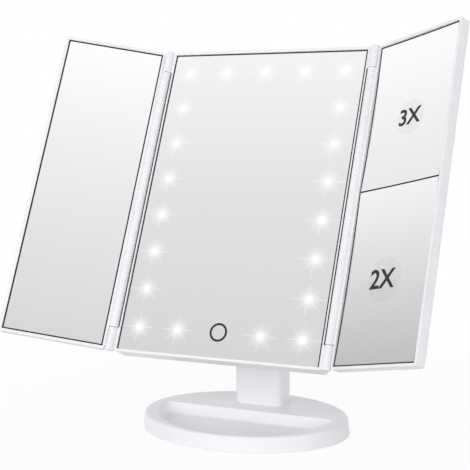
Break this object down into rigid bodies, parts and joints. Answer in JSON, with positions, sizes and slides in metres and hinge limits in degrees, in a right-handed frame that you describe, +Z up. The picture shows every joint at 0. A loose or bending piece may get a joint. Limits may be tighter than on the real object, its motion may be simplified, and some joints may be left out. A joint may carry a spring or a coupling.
{
  "type": "trifold vanity mirror",
  "caption": "Table mirror with lights: a centre mirror between two folding wings, tilting on a column over an oval base with a tray.",
  "frame": {"origin": "on the table, under the middle of the oval base", "axes": "+X to the viewer's right, +Y towards the back, +Z up; the mirrors face -Y"},
  "size_m": [0.3285, 0.1556, 0.2994],
  "materials": {
    "white_abs": "glossy injection-moulded ABS, white with a cool tint",
    "mirror_glass": "back-silvered float glass, polished",
    "rubber_pad": "soft moulded rubber",
    "strip_rubber": "soft extruded rubber, black",
    "black_abs": "matt moulded ABS",
    "zinc_steel": "zinc-plated steel",
    "socket_steel": "plated pressed steel",
    "washer_bronze": "phosphor bronze",
    "cell_label": "printed shrink film over a steel can",
    "board_green": "solder mask over glass fibre",
    "board_white": "white solder mask",
    "light_package": "moulded light package, emissive",
    "foam_tape": "adhesive foam tape"
  },
  "bodies": {
    "base": {"base_shell": "white_abs", "base_lower_cover": "white_abs", "base_pad": "rubber_pad", "base_screws": "zinc_steel", "column_front": "white_abs", "column_rear": "white_abs", "column_screws": "zinc_steel", "column_rear_screws": "zinc_steel", "battery_holder": "black_abs", "battery_cells": "cell_label", "battery_contacts": "zinc_steel", "charging_board": "board_green", "charging_socket": "socket_steel"},
    "battery_cover": {"battery_cover": "white_abs"},
    "centre_panel": {"tilt_bracket": "white_abs", "tilt_axle": "zinc_steel", "tilt_nut": "zinc_steel", "friction_washers": "washer_bronze", "bracket_screws": "zinc_steel", "centre_frame": "white_abs", "barrel_strips": "strip_rubber", "centre_back": "white_abs", "centre_mirror": "mirror_glass", "centre_tape": "foam_tape", "centre_screws": "zinc_steel", "light_boards": "board_white", "lights": "light_package", "touch_board": "board_green", "touch_spring": "zinc_steel", "hinge_pins": "zinc_steel"},
    "left_wing": {"left_frame": "white_abs", "left_back": "white_abs", "left_mirror": "mirror_glass", "left_tape": "foam_tape"},
    "right_wing": {"right_frame": "white_abs", "right_back": "white_abs", "strong_mirror": "mirror_glass", "weak_mirror": "mirror_glass", "right_tape": "foam_tape"}
  },
  "joints": [
    {"name": "tilt", "type": "hinge", "parent": "base", "child": "centre_panel", "pos_m": [0, 0.0338, 0.1696], "axis": [-1, 0, 0], "range_deg": [-25.85, 64.15]},
    {"name": "left_wing_fold", "type": "hinge", "parent": "centre_panel", "child": "left_wing", "pos_m": [-0.0855, 0.00102, 0.17304], "axis": [0, 0.436, 0.8999], "range_deg": [-24.5, 155.5]},
    {"name": "right_wing_fold", "type": "hinge", "parent": "centre_panel", "child": "right_wing", "pos_m": [0.0855, 0.00102, 0.17304], "axis": [0, -0.436, -0.8999], "range_deg": [-29, 151]},
    {"name": "battery_cover_pull", "type": "slide", "parent": "base", "child": "battery_cover", "axis": [0, 1, 0], "range_m": [0, 0.015]}
  ]
}
